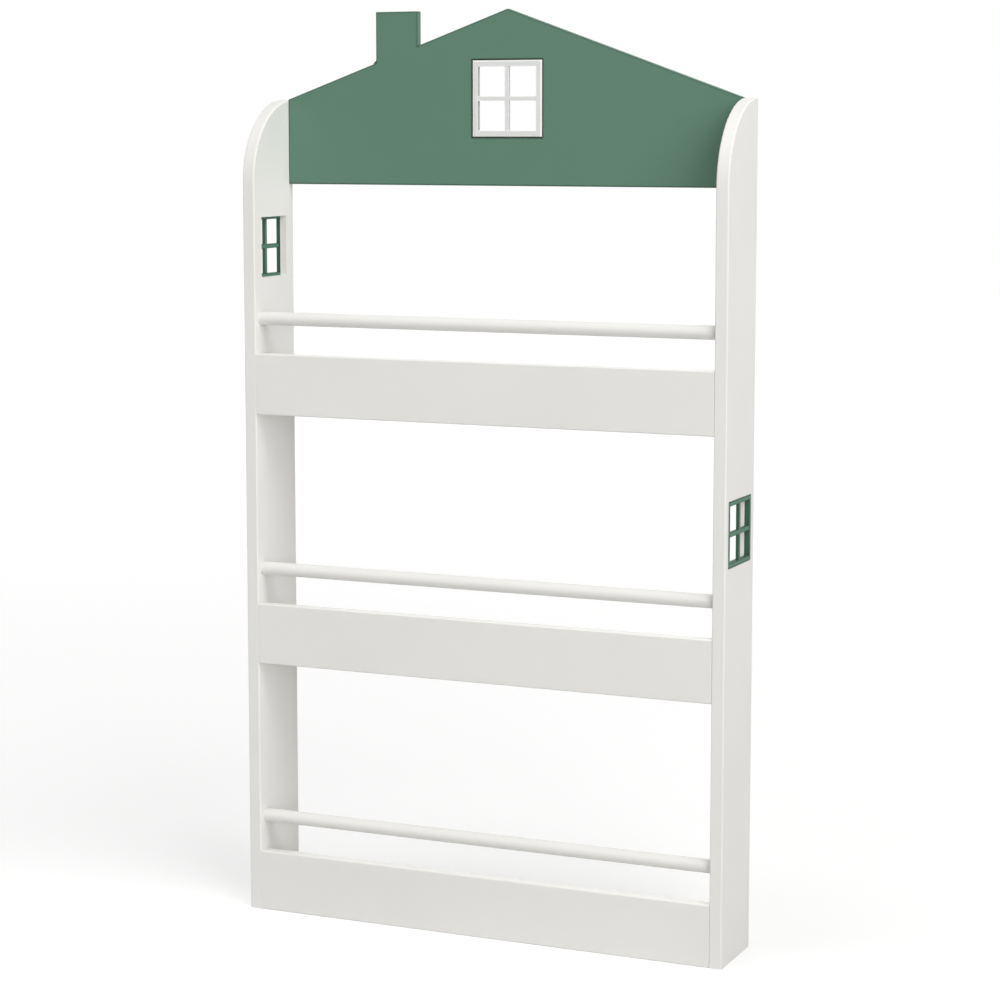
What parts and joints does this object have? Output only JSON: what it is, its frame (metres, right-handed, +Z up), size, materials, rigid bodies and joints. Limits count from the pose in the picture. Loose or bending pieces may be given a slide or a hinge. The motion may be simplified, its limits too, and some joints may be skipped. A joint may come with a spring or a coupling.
{
  "type": "house shaped bookcase",
  "caption": "Shallow front-facing children's bookcase with tiers of shelf, front board and round rail, under a gabled roof panel with a chimney and small windows.",
  "frame": {"origin": "middle of the footprint, on the floor", "axes": "+X to the right seen from the front, +Y towards the wall, +Z up"},
  "size_m": [0.6, 0.096, 1.07],
  "materials": {
    "white_board": "satin white paint on fibreboard",
    "green_board": "satin green paint on fibreboard",
    "white_rail": "satin white paint on turned wood",
    "white_plastic": "moulded, satin",
    "green_plastic": "moulded, satin",
    "beech": "bare, fluted",
    "zinc": "zinc plated"
  },
  "bodies": {
    "root": {"left_side_panel": "white_board", "right_side_panel": "white_board", "roof_panel": "green_board", "roof_window": "white_plastic", "left_window": "green_plastic", "right_window": "green_plastic", "upper_front_board": "white_board", "middle_front_board": "white_board", "lower_front_board": "white_board", "upper_shelf": "white_board", "middle_shelf": "white_board", "lower_shelf": "white_board", "upper_rail": "white_rail", "middle_rail": "white_rail", "lower_rail": "white_rail", "board_dowels": "beech", "shelf_dowels": "beech", "ledge_dowels": "beech", "roof_dowels": "beech", "board_cams": "zinc", "shelf_cams": "zinc", "board_cam_bolts": "zinc", "shelf_cam_bolts": "zinc", "board_cam_caps": "white_plastic", "shelf_cam_caps": "white_plastic", "wall_brackets": "zinc", "bracket_screws": "zinc"}
  },
  "joints": []
}
